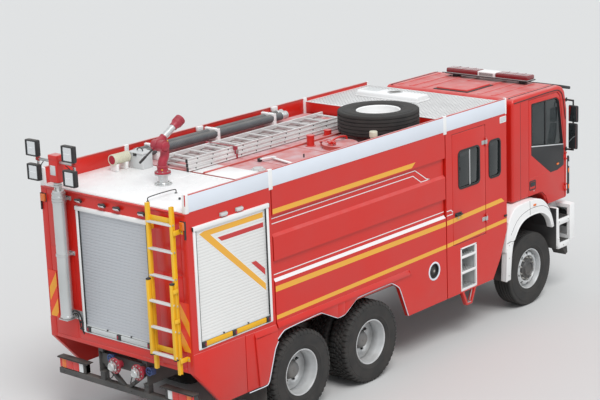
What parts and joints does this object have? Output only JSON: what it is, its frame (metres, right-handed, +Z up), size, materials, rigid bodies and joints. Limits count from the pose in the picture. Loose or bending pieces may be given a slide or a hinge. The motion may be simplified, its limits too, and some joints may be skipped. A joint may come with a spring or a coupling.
{
  "type": "fire fighting water tender truck",
  "caption": "Fire truck with a tilting cab, crew module, water tank body, rear pump module with roller shutters, roof monitor, light mast, sliding ladder and spare wheel.",
  "frame": {"origin": "centre of the length and width on the ground under the wheels", "axes": "+X towards the cab, +Y to the left side, +Z up"},
  "size_m": [8.69, 2.76, 3.8301],
  "materials": {
    "chassis_black": "satin",
    "engine_grey": "matt",
    "axle_black": "matt",
    "tyre_rubber": "matt",
    "rim_silver": "satin",
    "rim_grey": "satin",
    "red_paint": "gloss",
    "faded_red": "satin",
    "white_paint": "satin",
    "band_white": "gloss",
    "shutter_metal": "anodised",
    "ladder_yellow": "satin",
    "mast_metal": "anodised",
    "lamp_black": "matt",
    "pipe_steel": "brushed",
    "monitor_red": "gloss",
    "ladder_metal": "mill finish",
    "hose_rubber": "ribbed",
    "window_glass": "tinted",
    "trim_black": "grained",
    "seat_cloth": "woven",
    "lens_red": "clear"
  },
  "bodies": {
    "root": {"chassis_frame": "chassis_black", "engine_block": "engine_grey", "front_axle": "axle_black", "drive_axles": "axle_black", "leaf_springs": "axle_black", "rear_module": "red_paint", "rear_deck": "white_paint", "shutters": "shutter_metal", "rear_skirts": "red_paint", "tank_panels": "red_paint", "water_tank": "faded_red", "crew_cabin": "red_paint", "crew_windows": "window_glass", "crew_steps": "white_paint", "crew_bench": "seat_cloth", "crew_deck": "white_paint", "parapets": "band_white", "rear_bumper": "chassis_black", "pump_inlets": "monitor_red", "rear_ladder": "ladder_yellow", "mast_tube": "mast_metal", "monitor_base": "pipe_steel", "roof_ladder": "ladder_metal", "spare_wheel": "tyre_rubber", "suction_hoses": "hose_rubber", "front_fenders": "white_paint", "cab_steps": "white_paint", "front_bumper": "white_paint"},
    "knuckle_left": {"steering_knuckle_left": "axle_black"},
    "wheel_front_left": {"front_tyre_left": "tyre_rubber", "front_rim_left": "rim_silver"},
    "wheel_mid_left": {"mid_tyres_left": "tyre_rubber", "mid_rims_left": "rim_grey"},
    "wheel_rear_left": {"rear_tyres_left": "tyre_rubber", "rear_rims_left": "rim_grey"},
    "cab_door_left": {"cab_door_left": "red_paint"},
    "crew_door_left": {"crew_door_left": "red_paint"},
    "knuckle_right": {"steering_knuckle_right": "axle_black"},
    "wheel_front_right": {"front_tyre_right": "tyre_rubber", "front_rim_right": "rim_silver"},
    "wheel_mid_right": {"mid_tyres_right": "tyre_rubber", "mid_rims_right": "rim_grey"},
    "wheel_rear_right": {"rear_tyres_right": "tyre_rubber", "rear_rims_right": "rim_grey"},
    "cab_door_right": {"cab_door_right": "red_paint"},
    "crew_door_right": {"crew_door_right": "red_paint"},
    "cab": {"cab_shell": "red_paint", "windscreen": "window_glass", "dashboard": "trim_black", "cab_seats": "seat_cloth", "cab_front_trim": "trim_black", "light_bar": "lens_red"},
    "tank_lid": {"tank_lid": "faded_red"},
    "ladder_slide": {"ladder_slide": "ladder_yellow"},
    "mast_stage": {"mast_stage": "mast_metal"},
    "mast_lamps": {"mast_lamps": "lamp_black"},
    "monitor_body": {"monitor_body": "monitor_red"},
    "monitor_barrel": {"monitor_barrel": "monitor_red"}
  },
  "joints": [
    {"name": "steer_left", "type": "hinge", "parent": "root", "child": "knuckle_left", "pos_m": [3.021, 0.9, 0.55], "axis": [0, 0, 1], "range_deg": [-30, 30]},
    {"name": "spin_front_left", "type": "hinge", "parent": "knuckle_left", "child": "wheel_front_left", "pos_m": [3.021, 1.005, 0.55], "axis": [0, 1, 0], "continuous": true},
    {"name": "spin_mid_left", "type": "hinge", "parent": "root", "child": "wheel_mid_left", "pos_m": [-0.847, 1.1, 0.55], "axis": [0, 1, 0], "continuous": true},
    {"name": "spin_rear_left", "type": "hinge", "parent": "root", "child": "wheel_rear_left", "pos_m": [-2.227, 1.1, 0.55], "axis": [0, 1, 0], "continuous": true},
    {"name": "steer_right", "type": "hinge", "parent": "root", "child": "knuckle_right", "pos_m": [3.021, -0.9, 0.55], "axis": [0, 0, 1], "range_deg": [-30, 30]},
    {"name": "spin_front_right", "type": "hinge", "parent": "knuckle_right", "child": "wheel_front_right", "pos_m": [3.021, -1.005, 0.55], "axis": [0, 1, 0], "continuous": true},
    {"name": "spin_mid_right", "type": "hinge", "parent": "root", "child": "wheel_mid_right", "pos_m": [-0.847, -1.1, 0.55], "axis": [0, 1, 0], "continuous": true},
    {"name": "spin_rear_right", "type": "hinge", "parent": "root", "child": "wheel_rear_right", "pos_m": [-2.227, -1.1, 0.55], "axis": [0, 1, 0], "continuous": true},
    {"name": "cab_tilt", "type": "hinge", "parent": "root", "child": "cab", "pos_m": [4.16, 0, 1.395], "axis": [0, 1, 0], "range_deg": [0, 50]},
    {"name": "cab_door_swing_left", "type": "hinge", "parent": "cab", "child": "cab_door_left", "pos_m": [3.963, 1.16, 2.2], "axis": [0, 0, -1], "range_deg": [0, 65]},
    {"name": "crew_door_swing_left", "type": "hinge", "parent": "root", "child": "crew_door_left", "pos_m": [1.757, 1.262, 2.2], "axis": [0, 0, -1], "range_deg": [0, 85]},
    {"name": "cab_door_swing_right", "type": "hinge", "parent": "cab", "child": "cab_door_right", "pos_m": [3.963, -1.16, 2.2], "axis": [0, 0, 1], "range_deg": [0, 65]},
    {"name": "crew_door_swing_right", "type": "hinge", "parent": "root", "child": "crew_door_right", "pos_m": [1.757, -1.262, 2.2], "axis": [0, 0, 1], "range_deg": [0, 85]},
    {"name": "tank_lid_open", "type": "hinge", "parent": "root", "child": "tank_lid", "pos_m": [-0.625, -0.355, 3.103], "axis": [-1, 0, 0], "range_deg": [0, 100]},
    {"name": "ladder_slide_down", "type": "slide", "parent": "root", "child": "ladder_slide", "axis": [0, 0, -1], "range_m": [0, 0.6]},
    {"name": "mast_lift", "type": "slide", "parent": "root", "child": "mast_stage", "axis": [0, 0, 1], "range_m": [0, 1.4]},
    {"name": "lamp_tilt", "type": "hinge", "parent": "mast_stage", "child": "mast_lamps", "pos_m": [-4.235, 0.8, 3.41], "axis": [0, 1, 0], "range_deg": [-20, 90]},
    {"name": "monitor_swivel", "type": "hinge", "parent": "root", "child": "monitor_body", "pos_m": [-3.305, -0.06, 3.53], "axis": [0, 0, 1], "range_deg": [-170, 170]},
    {"name": "monitor_elevation", "type": "hinge", "parent": "monitor_body", "child": "monitor_barrel", "pos_m": [-3.305, 0.022, 3.53], "axis": [0, -1, 0], "range_deg": [-25, 45]}
  ],
  "couplings": [
    {"joint": "steer_right", "follows": "steer_left", "ratio": 1}
  ]
}
